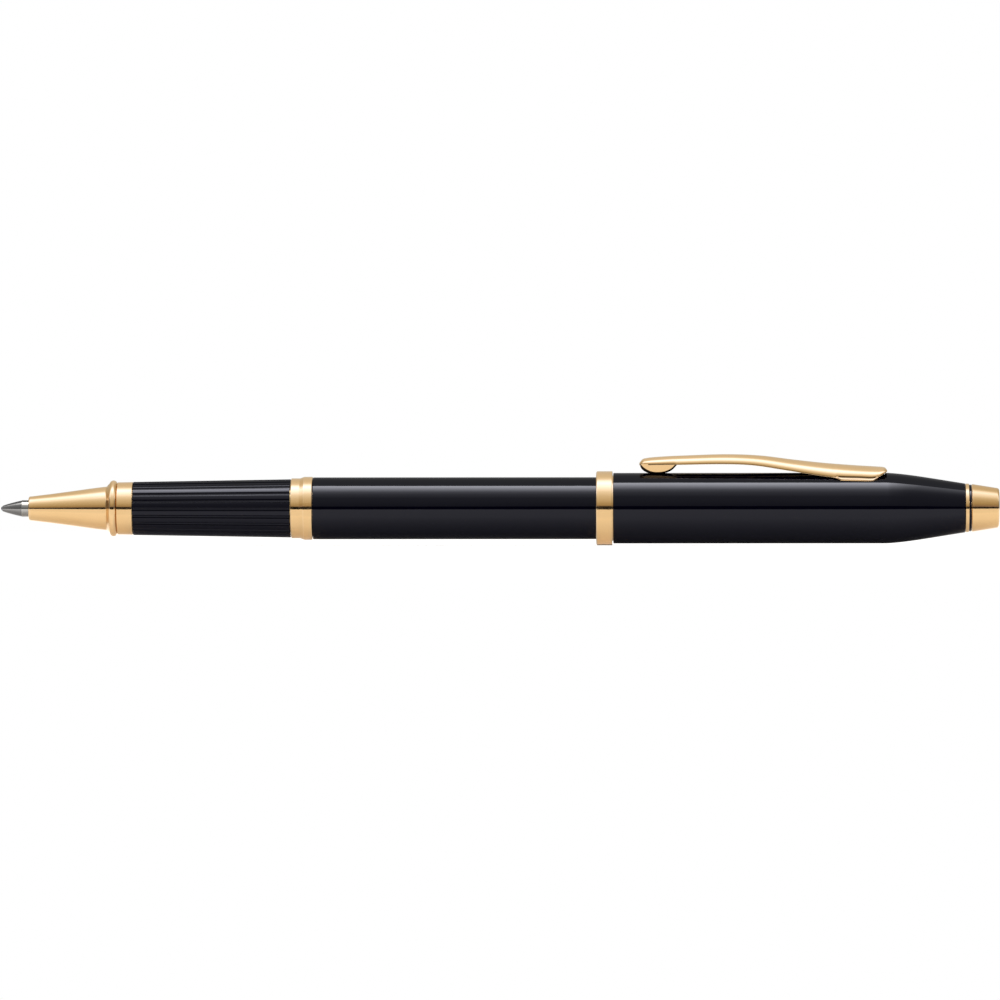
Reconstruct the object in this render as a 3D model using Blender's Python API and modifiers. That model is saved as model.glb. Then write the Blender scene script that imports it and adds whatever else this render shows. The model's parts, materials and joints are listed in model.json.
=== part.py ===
"""A rollerball pen with its cap posted on the rear of the barrel.

The pen lies along X, writing tip towards -X and clip upwards. Every station below is a distance in
millimetres behind the front of the writing ball, every radius is measured from the pen's axis, and
metres() turns them into scene units.
"""

import math

import bmesh
import bpy
from mathutils import Matrix, Vector

# --- driving dimensions, in millimetres -------------------------------------------------------
PEN_LENGTH = 149.8
SEGMENTS = 32
FINE_SEGMENTS = 24

BALL_RADIUS = 0.35
NOSE_RADIUS = 1.25
REFILL_RADIUS = 3.0
REFILL_BORE = 2.5
REFILL_END = 111.3

CONE_FRONT = 4.2
GRIP_FRONT = 19.93
GRIP_REAR = 43.6
GRIP_FRONT_RADIUS = 3.99
GRIP_REAR_RADIUS = 4.37
GROOVES = 22
GROOVE_RADIUS = 0.24
GROOVE_PHASE = math.radians(1.3)

CORE_RADIUS = 3.5
CORE_BORE = 3.12
COUPLING_FRONT = 43.68
COUPLING_REAR = 46.9
COUPLING_FRONT_RADIUS = 4.51
COUPLING_REAR_RADIUS = 4.74

THREAD_PITCH = 0.8
THREAD_START = 49.2
THREAD_TURNS = 4
THREAD_ROOT = 3.42
THREAD_CREST = 3.78
THREAD_GAP = 0.1
THREAD_FOOT = 0.31
THREAD_TIP = 0.1
THREAD_SINK = 0.12
THREAD_PHASE = 0.2
INSERT_MINOR = 3.56
INSERT_RADIUS = 4.2

BARREL_RADIUS = 4.65
BARREL_BORE = 4.25
BARREL_FRONT = 46.96
BARREL_REAR = 118.6
BARREL_END = 120.6

LIP_FRONT = 89.45
LIP_REAR = 91.9
LIP_RADIUS = 5.58
LIP_BORE = 4.69
CAP_FRONT = 92.0
CAP_RADIUS = 5.29
CAP_BORE = 4.95
CAP_SHOULDER = 132.8
CAP_REAR = 144.7
CAP_REAR_RADIUS = 3.68
INNER_CAP_FRONT = 121.0
INNER_CAP_REAR = 137.0
SLOT_FRONT = 131.1
SLOT_REAR = 132.7
SLOT_HALF_WIDTH = 1.45

BAND_FRONT = 144.75
BAND_REAR = 145.26
SPACER_REAR = 145.6
CROWN_FRONT = 145.64
CROWN_FRONT_RADIUS = 3.6
CROWN_REAR_RADIUS = 2.95
STUD_RADIUS = 1.3

CLIP_FRONT = 95.9
CLIP_REAR = 133.0
CLIP_SHEET = 0.42
CLIP_DOME_POINTS = 9
CLIP_ROUNDNESS = 2.4
CHEEK_FRONT = 96.0
CHEEK_REAR = 101.4
CHEEK_DEPTH = 1.33
FOOT_FRONT = 124.8
FOOT_REAR = 132.0
FOOT_DEPTH = 0.62
FOOT_FLARE = 0.45
CLIP_PIVOT = (131.9, 4.6)
TONGUE_HALF_WIDTH = 1.1
TONGUE_HALF_LENGTH = 0.3

EDGE_BREAK = 0.08

# The lowest facet of the lip ring lies on the ground plane.
AXIS_HEIGHT = LIP_RADIUS * math.cos(math.pi / SEGMENTS)


# --- helpers ----------------------------------------------------------------------------------
def metres(*lengths):
    return tuple(0.001 * length for length in lengths)


def clear_scene():
    for obj in list(bpy.data.objects):
        bpy.data.objects.remove(obj)


def new_collection(name):
    collection = bpy.data.collections.new(name)
    bpy.context.scene.collection.children.link(collection)
    return collection


def new_material(name, colour, roughness, metallic):
    material = bpy.data.materials.new(name)
    material.use_nodes = True
    shader = material.node_tree.nodes["Principled BSDF"]
    shader.inputs["Base Color"].default_value = (*colour, 1.0)
    shader.inputs["Roughness"].default_value = roughness
    shader.inputs["Metallic"].default_value = metallic
    return material


def new_joint(name, parent, station, height):
    """An empty at (station, height above the pen's axis), parented to another empty."""
    empty = bpy.data.objects.new(name, None)
    parts.objects.link(empty)
    empty.parent = parent
    empty.location = metres(station - parent["station"], 0, height - parent["height"])
    empty["station"] = station
    empty["height"] = height
    return empty


def new_piece(name, mesh, joint, material):
    """A mesh object on a joint's empty, with the mesh measured from the pen's tip and axis."""
    obj = bpy.data.objects.new(name, mesh)
    parts.objects.link(obj)
    obj.parent = joint
    obj.location = metres(-joint["station"], 0, -joint["height"])
    mesh.materials.append(material)
    return obj


def turned(name, outline, joint, material, segments=SEGMENTS):
    """A body of revolution about the pen's axis.

    The outline lists (station, radius) along the outer side from front to rear, then along the
    bore from rear to front. One that starts and ends on the axis is a solid, or a cup if it first
    runs forward along the bore.
    Every turned piece starts half a segment round, so that facets of nested pieces line up.
    """
    half = math.pi / segments
    points = []
    for station, radius in reversed(outline):
        points.append(metres(radius * math.cos(half), radius * math.sin(half), station))
    edges = [(i, i + 1) for i in range(len(points) - 1)]
    if outline[0][1] > 0:
        edges.append((len(points) - 1, 0))
    mesh = bpy.data.meshes.new(name)
    mesh.from_pydata(points, edges, [])
    obj = new_piece(name, mesh, joint, material)
    obj.rotation_euler = (0, math.pi / 2, 0)
    screw = obj.modifiers.new("turn", "SCREW")
    screw.steps = segments
    screw.render_steps = segments
    screw.use_merge_vertices = True
    screw.merge_threshold = 1e-6
    return obj


def loft(name, rings, joint, material):
    """A closed solid through equal rings of (station, y, height) points, capped at both ends."""
    bm = bmesh.new()
    loops = [[bm.verts.new(metres(*point)) for point in ring] for ring in rings]
    count = len(rings[0])
    for loop, following in zip(loops, loops[1:]):
        for i in range(count):
            j = (i + 1) % count
            bm.faces.new((loop[i], loop[j], following[j], following[i]))
    bm.faces.new(loops[0])
    bm.faces.new(loops[-1])
    bmesh.ops.recalc_face_normals(bm, faces=bm.faces)
    mesh = bpy.data.meshes.new(name)
    bm.to_mesh(mesh)
    bm.free()
    return new_piece(name, mesh, joint, material)


def box_mesh(name, low, high):
    """A box between two (station, y, height) corners, made from a unit cube."""
    size = Vector(metres(*high)) - Vector(metres(*low))
    centre = (Vector(metres(*high)) + Vector(metres(*low))) / 2
    bm = bmesh.new()
    bmesh.ops.create_cube(bm, size=1, matrix=Matrix.Translation(centre) @ Matrix.Diagonal((*size, 1)))
    mesh = bpy.data.meshes.new(name)
    bm.to_mesh(mesh)
    bm.free()
    return mesh


def as_cutter(obj):
    for collection in list(obj.users_collection):
        collection.objects.unlink(obj)
    cutters.objects.link(obj)
    obj.hide_render = True
    obj.display_type = "WIRE"
    return obj


def boolean(obj, other, operation="DIFFERENCE"):
    modifier = obj.modifiers.new(other.name, "BOOLEAN")
    modifier.operation = operation
    modifier.solver = "EXACT"
    modifier.object = as_cutter(other)
    return modifier


def smooth_through(points, at):
    """A Catmull-Rom curve through (station, value) points, read at one station."""
    last = len(points) - 2
    index = max(i for i in range(last + 1) if points[i][0] <= at or i == 0)
    before = points[max(index - 1, 0)]
    left, right = points[index], points[index + 1]
    after = points[min(index + 2, last + 1)]
    span = right[0] - left[0]
    t = (at - left[0]) / span
    slope_left = (right[1] - before[1]) / (right[0] - before[0]) * span
    slope_right = (after[1] - left[1]) / (after[0] - left[0]) * span
    return (
        (2 * t**3 - 3 * t**2 + 1) * left[1]
        + (t**3 - 2 * t**2 + t) * slope_left
        + (-2 * t**3 + 3 * t**2) * right[1]
        + (t**3 - t**2) * slope_right
    )


def arc(centre, radius, start, end, steps):
    """Points on an arc in the outline's plane: 0 degrees faces the rear, 90 degrees faces outwards."""
    found = []
    for i in range(steps + 1):
        angle = math.radians(start + (end - start) * i / steps)
        found.append((centre[0] + radius * math.cos(angle), centre[1] + radius * math.sin(angle)))
    return found


def helix(name, root, crest, foot, tip, start, turns, segments=FINE_SEGMENTS):
    """A right-handed ridge of trapezoid section on the pen's axis, for a thread or its cutter.

    THREAD_PHASE turns it a little, so that its points lie off the edges of the body's facets.
    """
    rings = []
    for i in range(round(turns * segments) + 1):
        angle = 2 * math.pi * (i + THREAD_PHASE) / segments
        station = start + THREAD_PITCH * i / segments
        ring = []
        for offset, radius in ((-foot, root), (-tip, crest), (tip, crest), (foot, root)):
            ring.append((station + offset, radius * math.cos(angle), radius * math.sin(angle)))
        rings.append(ring)
    return loft(name, rings, pen, brass)


# --- refill -----------------------------------------------------------------------------------
def make_writing_ball():
    bpy.ops.mesh.primitive_uv_sphere_add(segments=16, ring_count=10, radius=0.001 * BALL_RADIUS)
    ball = bpy.context.object
    ball.name = "writing_ball"
    for collection in list(ball.users_collection):
        collection.objects.unlink(ball)
    parts.objects.link(ball)
    ball.parent = ball_joint
    ball.data.materials.append(carbide)
    ball.data.shade_smooth()


def make_refill_point():
    """The steel cone: a seat behind the ball, a lip just over its widest ring, and an ink bore."""
    outline = [
        (0.26, 0.345), (0.26, 0.43), (1.0, 0.64), (2.4, 1.04), (3.0, 1.2), (3.04, 0.62), (8.0, 0.62),
        (8.0, 0.22), (0.95, 0.22), (0.62, 0.38), (0.34, 0.38),
    ]
    turned("refill_point", outline, refill, steel, FINE_SEGMENTS)


def make_refill_nose():
    """The slim sleeve, its shoulders inside the cone and the spigot that the tube fits over."""
    outline = [
        (3.1, 0.7), (3.1, 1.22), (3.2, NOSE_RADIUS), (10.8, NOSE_RADIUS), (11.4, 2.05), (17.4, 2.05),
        (18.3, 2.9), (19.2, 2.9), (19.2, 2.42), (23.0, 2.42),
        (23.0, 0.9), (8.2, 0.9), (8.2, 0.7),
    ]
    turned("refill_nose", outline, refill, nose_metal, FINE_SEGMENTS)


def make_refill_tube():
    outline = [
        (19.3, REFILL_RADIUS), (REFILL_END - 1.8, REFILL_RADIUS),
        (REFILL_END - 1.8, REFILL_BORE), (19.3, REFILL_BORE),
    ]
    turned("refill_tube", outline, refill, clear_plastic, FINE_SEGMENTS)


def make_ink():
    """The gel ink behind the nose, and the grease that follows it down the tube."""
    radius = REFILL_BORE - 0.06
    column = [(23.1, 0), (23.1, radius), (88.0, radius), (88.0, 0)]
    turned("ink_column", column, refill, ink, FINE_SEGMENTS)
    follower = [(88.1, 0), (88.1, radius), (93.5, radius), (93.5, 0)]
    turned("ink_follower", follower, refill, grease, FINE_SEGMENTS)


def make_refill_plug():
    seat = REFILL_END - 1.7
    outline = [
        (seat - 4.0, REFILL_BORE - 0.06), (seat, REFILL_BORE - 0.06), (seat, REFILL_RADIUS),
        (REFILL_END - 0.3, REFILL_RADIUS), (REFILL_END, REFILL_RADIUS - 0.3),
        (REFILL_END, 0.5), (seat - 4.0, 0.5),
    ]
    turned("refill_plug", outline, refill, black_plastic, FINE_SEGMENTS)


def make_refill_spring():
    """A compression spring between the refill's plug and the seat in the barrel's end."""
    wire, coil, turns, steps = 0.22, 2.1, 5, 12
    start, end = REFILL_END + wire + 0.05, 118.2 - wire
    curve = bpy.data.curves.new("refill_spring", "CURVE")
    curve.dimensions = "3D"
    curve.bevel_depth = 0.001 * wire
    curve.bevel_resolution = 1
    curve.use_fill_caps = True
    spline = curve.splines.new("POLY")
    count = turns * steps
    spline.points.add(count)
    for i, point in enumerate(spline.points):
        angle = 2 * math.pi * i / steps
        station = start + (end - start) * i / count
        point.co = (*metres(station, coil * math.cos(angle), coil * math.sin(angle)), 1)
    obj = bpy.data.objects.new("refill_spring", curve)
    parts.objects.link(obj)
    obj.parent = pen
    curve.materials.append(steel)


# --- section ----------------------------------------------------------------------------------
def make_nose_cone():
    """The cone, its concave neck, the bead and the collar, turned from one bar."""
    outer = [
        (CONE_FRONT, 1.55), (4.45, 1.8), (6.0, 2.0), (7.5, 2.18), (9.0, 2.38), (10.5, 2.58),
        (12.0, 2.79), (13.5, 3.0), (15.0, 3.2), (15.9, 3.28), (16.2, 3.55),
    ]
    outer += arc((17.1, 3.66), 0.57, 160, 40, 5)
    outer += [(17.95, 3.92), (19.88, 3.97)]
    bore = [
        (19.88, CORE_RADIUS + 0.06), (18.3, CORE_RADIUS + 0.06), (18.3, 3.05), (17.5, 3.05),
        (16.9, 2.2), (11.2, 2.2), (10.5, 1.36), (CONE_FRONT, 1.36),
    ]
    turned("nose_cone", outer + bore, section, gold)


def make_section_core():
    outline = [
        (18.4, CORE_RADIUS), (45.2, CORE_RADIUS),
        (45.2, CORE_BORE), (18.4, CORE_BORE),
    ]
    turned("section_core", outline, section, brass)


def make_grip_sleeve():
    """A slightly tapered tube with round-bottomed grooves along its whole length."""
    outline = [
        (GRIP_FRONT, GRIP_FRONT_RADIUS - EDGE_BREAK), (GRIP_FRONT + EDGE_BREAK, GRIP_FRONT_RADIUS),
        (GRIP_REAR - EDGE_BREAK, GRIP_REAR_RADIUS), (GRIP_REAR, GRIP_REAR_RADIUS - EDGE_BREAK),
        (GRIP_REAR, CORE_RADIUS + 0.08), (GRIP_FRONT, CORE_RADIUS + 0.08),
    ]
    grip = turned("grip_sleeve", outline, section, black_plastic, 2 * GROOVES)
    boolean(grip, make_groove_cutter())


def make_groove_cutter():
    length = GRIP_REAR - GRIP_FRONT
    taper = math.atan2(GRIP_REAR_RADIUS - GRIP_FRONT_RADIUS, length)
    middle = (GRIP_FRONT + GRIP_REAR) / 2
    middle_radius = (GRIP_FRONT_RADIUS + GRIP_REAR_RADIUS) / 2
    bm = bmesh.new()
    for i in range(GROOVES):
        around = Matrix.Rotation(GROOVE_PHASE + 2 * math.pi * i / GROOVES, 4, "X")
        out = Matrix.Translation(metres(middle, -middle_radius, 0))
        tilt = Matrix.Rotation(-taper, 4, "Z")
        along = Matrix.Rotation(math.pi / 2, 4, "Y")
        bmesh.ops.create_cone(
            bm, cap_ends=True, segments=6, radius1=0.001 * GROOVE_RADIUS, radius2=0.001 * GROOVE_RADIUS,
            depth=0.001 * (length + 2), matrix=around @ out @ tilt @ along,
        )
    mesh = bpy.data.meshes.new("groove_cutter")
    bm.to_mesh(mesh)
    bm.free()
    return new_piece("groove_cutter", mesh, section, black_plastic)


def make_coupling_ring():
    """The two-step gold ring, with the threaded spigot that screws into the barrel."""
    outer = [
        (COUPLING_FRONT, COUPLING_FRONT_RADIUS - EDGE_BREAK),
        (COUPLING_FRONT + EDGE_BREAK, COUPLING_FRONT_RADIUS),
        (45.05, COUPLING_FRONT_RADIUS), (45.25, COUPLING_FRONT_RADIUS + 0.06),
        (45.5, COUPLING_REAR_RADIUS - 0.05), (45.65, COUPLING_REAR_RADIUS),
        (COUPLING_REAR - EDGE_BREAK, COUPLING_REAR_RADIUS),
        (COUPLING_REAR, COUPLING_REAR_RADIUS - EDGE_BREAK),
        (COUPLING_REAR, THREAD_ROOT), (52.9, THREAD_ROOT),
        (52.9, CORE_BORE), (45.4, CORE_BORE),
        (45.4, CORE_RADIUS + 0.06), (COUPLING_FRONT, CORE_RADIUS + 0.06),
    ]
    ring = turned("coupling_ring", outer, section, gold, FINE_SEGMENTS)
    ridge = helix(
        "male_thread", THREAD_ROOT - THREAD_SINK, THREAD_CREST, THREAD_FOOT, THREAD_TIP,
        THREAD_START, THREAD_TURNS - 0.5,
    )
    boolean(ring, ridge, "UNION")


# --- barrel -----------------------------------------------------------------------------------
def make_barrel_tube():
    outline = [
        (BARREL_FRONT, BARREL_RADIUS - EDGE_BREAK), (BARREL_FRONT + EDGE_BREAK, BARREL_RADIUS),
        (BARREL_REAR, BARREL_RADIUS), (BARREL_REAR, BARREL_BORE), (BARREL_FRONT, BARREL_BORE),
    ]
    turned("barrel_tube", outline, pen, lacquer)


def make_barrel_thread_insert():
    """A brass bush with a plain mouth and a helical groove that the coupling's ridge runs in."""
    mouth = THREAD_START - 0.25
    rear = THREAD_START + THREAD_TURNS * THREAD_PITCH + 1.6
    outline = [
        (47.2, INSERT_RADIUS), (rear, INSERT_RADIUS), (rear, INSERT_MINOR), (mouth, INSERT_MINOR),
        (mouth - 0.35, THREAD_CREST + 0.15), (47.2, THREAD_CREST + 0.15),
    ]
    insert = turned("barrel_thread_insert", outline, pen, brass, FINE_SEGMENTS)
    groove = helix(
        "female_thread", THREAD_ROOT - 0.05, THREAD_CREST + 0.12, THREAD_FOOT + THREAD_GAP,
        THREAD_TIP + THREAD_GAP, THREAD_START - 2 * THREAD_PITCH, THREAD_TURNS + 3,
    )
    boolean(insert, groove)


def make_barrel_end_plug():
    """The rounded end of the barrel, with a spigot inside the tube and the spring's seat."""
    outline = [
        (118.4, 0), (118.4, 2.7), (112.0, REFILL_RADIUS + 0.25), (112.0, BARREL_BORE - 0.06),
        (BARREL_REAR + 0.08, BARREL_BORE - 0.06), (BARREL_REAR + 0.08, BARREL_RADIUS - 0.04),
    ]
    outline += arc((BARREL_END - 1.2, BARREL_RADIUS - 1.24), 1.2, 90, 0, 4)
    outline += [(BARREL_END, 0)]
    turned("barrel_end_plug", outline, pen, black_plastic)


# --- cap --------------------------------------------------------------------------------------
def make_cap_lip_ring():
    outline = [
        (LIP_FRONT, LIP_RADIUS - 0.22), (LIP_FRONT + 0.07, LIP_RADIUS - 0.07),
        (LIP_FRONT + 0.22, LIP_RADIUS), (LIP_REAR - 0.22, LIP_RADIUS),
        (LIP_REAR - 0.07, LIP_RADIUS - 0.07), (LIP_REAR, LIP_RADIUS - 0.22),
        (LIP_REAR, CAP_BORE - 0.04), (95.4, CAP_BORE - 0.04),
        (95.4, LIP_BORE), (LIP_FRONT, LIP_BORE),
    ]
    turned("cap_lip_ring", outline, cap, gold)


def make_cap_shell():
    """The lacquered tube with its tapered end, and the slot for the clip's tongue."""
    outer = [
        (CAP_FRONT, CAP_RADIUS - EDGE_BREAK), (CAP_FRONT + EDGE_BREAK, CAP_RADIUS),
        (CAP_SHOULDER, CAP_RADIUS),
        (133.6, 5.25), (135.0, 5.13), (136.5, 4.95), (138.0, 4.74), (140.0, 4.43), (142.5, 4.03),
        (CAP_REAR, CAP_REAR_RADIUS),
    ]
    bore = [
        (CAP_REAR, CAP_REAR_RADIUS - 0.45), (140.0, 4.0), (138.0, 4.32), (136.5, 4.55), (135.0, 4.74),
        (133.4, 4.88), (CAP_SHOULDER - 1, 4.92), (CAP_SHOULDER - 1.6, CAP_BORE), (CAP_FRONT, CAP_BORE),
    ]
    shell = turned("cap_shell", outer + bore, cap, lacquer)
    boolean(shell, slot_cutter("shell_slot_cutter"))


def slot_cutter(name):
    low = (SLOT_FRONT, -SLOT_HALF_WIDTH, 2.9)
    high = (SLOT_REAR, SLOT_HALF_WIDTH, 6.5)
    return new_piece(name, box_mesh(name, low, high), cap, brass)


def make_posting_clutch():
    """A sleeve with six spring fingers, cut open from its rear edge."""
    cut_length, cut_reach, cut_width = 10, 12, 0.6
    outline = [(95.6, 4.9), (108.0, 4.9), (108.0, 4.71), (95.6, 4.71)]
    clutch = turned("posting_clutch", outline, cap, spring_metal)
    bm = bmesh.new()
    for i in range(3):
        turn = Matrix.Rotation(math.pi * (i + 0.5) / 3, 4, "X")
        size = Matrix.Diagonal((*metres(cut_length, cut_reach, cut_width), 1))
        place = turn @ Matrix.Translation(metres(104.0, 0, 0)) @ size
        bmesh.ops.create_cube(bm, size=1, matrix=place)
    mesh = bpy.data.meshes.new("finger_cutter")
    bm.to_mesh(mesh)
    bm.free()
    cutter = new_piece("finger_cutter", mesh, cap, spring_metal)
    boolean(clutch, cutter).use_self = True


def make_inner_cap():
    """The plastic cup that closes over the nose cone when the cap is on the front."""
    outline = [
        (135.9, 0), (135.9, 1.5), (132.6, 1.9), (131.6, 2.4), (126.5, 3.1), (123.5, 3.9),
        (INNER_CAP_FRONT, 4.2), (INNER_CAP_FRONT, 4.87), (127.6, 4.87), (127.6, 3.4),
        (INNER_CAP_REAR - 0.4, 3.4), (INNER_CAP_REAR, 3.0), (INNER_CAP_REAR, 0),
    ]
    turned("inner_cap", outline, cap, black_plastic)


def make_clip_retainer():
    """A ring inside the shell, slotted for the clip's tongue."""
    outline = [(127.9, 4.84), (133.2, 4.8), (133.2, 3.5), (127.9, 3.5)]
    ring = turned("clip_retainer", outline, cap, brass)
    boolean(ring, slot_cutter("retainer_slot_cutter"))


def make_cap_end_bush():
    outline = [
        (137.3, 4.2), (140.0, 3.85), (144.5, 3.12),
        (144.5, STUD_RADIUS + 0.1), (137.3, STUD_RADIUS + 0.1),
    ]
    turned("cap_end_bush", outline, cap, brass)


def make_crown_parts():
    """The gold band, the black spacer and the conical crown on its stud."""
    bore = STUD_RADIUS + 0.1
    band = [(BAND_FRONT, 3.66), (BAND_REAR, 3.66), (BAND_REAR, bore), (BAND_FRONT, bore)]
    turned("crown_band", band, cap, gold)
    start = BAND_REAR + 0.04
    spacer = [(start, 3.5), (SPACER_REAR, 3.5), (SPACER_REAR, bore), (start, bore)]
    turned("crown_spacer", spacer, cap, black_plastic)
    rounding = 0.35
    crown = [
        (138.0, 0), (138.0, STUD_RADIUS - 0.2), (138.2, STUD_RADIUS), (CROWN_FRONT, STUD_RADIUS),
        (CROWN_FRONT, CROWN_FRONT_RADIUS - 0.06), (CROWN_FRONT + 0.06, CROWN_FRONT_RADIUS),
    ]
    crown += arc((PEN_LENGTH - rounding, CROWN_REAR_RADIUS - rounding), rounding, 78, 0, 3)
    crown += [(PEN_LENGTH, 0)]
    turned("crown", crown, cap, gold)


# --- clip -------------------------------------------------------------------------------------
def clip_top(at):
    points = [
        (CLIP_FRONT, 6.95), (96.5, 7.43), (99.0, 7.73), (103.0, 7.92), (109.0, 8.11), (114.0, 7.9),
        (119.0, 7.29), (123.5, 6.8), (128.0, 6.45), (CLIP_REAR, 6.15),
    ]
    return smooth_through(points, at)


def clip_fold(at):
    """Height of the fold between the domed strip and what hangs down from it."""
    points = [
        (CLIP_FRONT, 6.5), (101.3, 6.58), (108.5, 6.68), (113.0, 6.5), (118.0, 5.75), (124.8, 4.8),
        (129.0, 4.66), (131.8, 4.66), (CLIP_REAR, 5.45),
    ]
    return smooth_through(points, at)


def clip_half_width(at):
    points = [
        (CLIP_FRONT, 1.25), (97.5, 1.75), (102.0, 1.85), (112.0, 2.1), (120.0, 2.7), (126.0, 3.1),
        (CLIP_REAR, 3.1),
    ]
    return smooth_through(points, at)


def clip_flange(at):
    """(depth below the fold, flare outwards) of the cheeks at the free end and the feet at the base."""
    thinnest = 0.1
    if CHEEK_FRONT < at < CHEEK_REAR:
        along = ((at - CHEEK_FRONT) / (CHEEK_REAR - CHEEK_FRONT)) ** 0.8
        return max(thinnest, CHEEK_DEPTH * math.sin(math.pi * along) ** 0.6), 0.0
    if FOOT_FRONT < at < FOOT_REAR:
        ramp = min((at - FOOT_FRONT) / 1.3, (FOOT_REAR - at) / 1.1, 1)
        return max(thinnest, FOOT_DEPTH * ramp), FOOT_FLARE * ramp
    return thinnest, 0.0


def dome(at, inset):
    """The strip's rounded top across one station, drawn in by the inset, from one fold to the other."""
    half = clip_half_width(at) - inset
    fold = clip_fold(at)
    rise = clip_top(at) - inset - fold
    points = []
    for i in range(CLIP_DOME_POINTS):
        angle = math.pi * (i / (CLIP_DOME_POINTS - 1) - 0.5)
        across = math.copysign(abs(math.sin(angle)) ** (2 / CLIP_ROUNDNESS), angle)
        height = max(math.cos(angle), 0) ** (2 / CLIP_ROUNDNESS)
        points.append((at, half * across, fold + rise * height))
    return points


def clip_section(at):
    """The channel's section at one station: over the outside, then back along the inside."""
    depth, flare = clip_flange(at)
    lower = clip_fold(at) - depth
    ring = []
    for inset, side in ((0, -1), (CLIP_SHEET, 1)):
        edge = clip_half_width(at) - inset + flare
        over = dome(at, inset)
        over = over if side < 0 else over[::-1]
        ring += [(at, side * edge, lower)] + over + [(at, -side * edge, lower)]
    return ring


def make_clip():
    """Folded sheet with a tongue, its feet trimmed to the cap's round."""
    stations = [CLIP_FRONT, 96.3, 96.8, 97.4, 98.2, 99.2, 100.2, 100.9, 101.4, 104.0, 107.0, 110.0]
    stations += [113.0, 116.0, 119.0, 122.0, 124.8, 125.5, 126.1, 128.5, 130.9, 131.5, 132.0, CLIP_REAR]
    clip = loft("clip", [clip_section(at) for at in stations], clip_joint, gold)
    station = CLIP_PIVOT[0]
    low = (station - TONGUE_HALF_LENGTH, -TONGUE_HALF_WIDTH, 3.65)
    high = (station + TONGUE_HALF_LENGTH, TONGUE_HALF_WIDTH, 5.95)
    tongue = new_piece("tongue", box_mesh("tongue", low, high), clip_joint, gold)
    boolean(clip, make_seat_cutter())
    boolean(clip, tongue, "UNION")


def make_seat_cutter():
    """What the cap's round takes off the clip's feet."""
    outline = [(124.0, 0), (124.0, CAP_RADIUS + 0.13), (134.0, CAP_RADIUS + 0.13), (134.0, 0)]
    return turned("seat_cutter", outline, clip_joint, gold)


clear_scene()
parts = new_collection("rollerball_pen")
cutters = new_collection("cutters")

gold = new_material("gold_plate", (0.82, 0.58, 0.27), 0.12, 1.0)
lacquer = new_material("black_lacquer", (0.012, 0.012, 0.015), 0.08, 0.0)
black_plastic = new_material("black_plastic", (0.018, 0.018, 0.021), 0.25, 0.0)
clear_plastic = new_material("clear_plastic", (0.72, 0.74, 0.76), 0.2, 0.0)
steel = new_material("steel", (0.56, 0.56, 0.58), 0.28, 1.0)
nose_metal = new_material("bright_steel", (0.78, 0.78, 0.79), 0.15, 1.0)
spring_metal = new_material("spring_bronze", (0.66, 0.48, 0.3), 0.3, 1.0)
carbide = new_material("tungsten_carbide", (0.3, 0.3, 0.32), 0.2, 1.0)
brass = new_material("brass", (0.72, 0.56, 0.27), 0.3, 1.0)
ink = new_material("gel_ink", (0.01, 0.01, 0.02), 0.3, 0.0)
grease = new_material("grease", (0.8, 0.76, 0.6), 0.4, 0.0)

pen = bpy.data.objects.new("pen", None)
parts.objects.link(pen)
pen.location = metres(-PEN_LENGTH / 2, 0, AXIS_HEIGHT)
pen["station"] = 0.0
pen["height"] = 0.0
refill = new_joint("refill_slide", pen, 60.0, 0.0)
ball_joint = new_joint("ball_roll", refill, BALL_RADIUS, 0.0)
section = new_joint("section_screw", refill, 50.0, 0.0)
cap = new_joint("cap_slide", pen, 110.0, 0.0)
clip_joint = new_joint("clip_hinge", cap, *CLIP_PIVOT)

make_writing_ball()
make_refill_point()
make_refill_nose()
make_refill_tube()
make_ink()
make_refill_plug()
make_refill_spring()
make_nose_cone()
make_section_core()
make_grip_sleeve()
make_coupling_ring()
make_barrel_tube()
make_barrel_thread_insert()
make_barrel_end_plug()
make_cap_lip_ring()
make_cap_shell()
make_posting_clutch()
make_inner_cap()
make_clip_retainer()
make_cap_end_bush()
make_crown_parts()
make_clip()
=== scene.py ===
"""The looks of a rollerball pen: fine meshes, procedural finishes, a pale studio and the camera.

A station is a distance in millimetres behind the front of the writing ball, and a radius or a
height is a distance in millimetres from the pen's axis. place() turns them into the row frame.
"""

import json
import math

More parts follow.
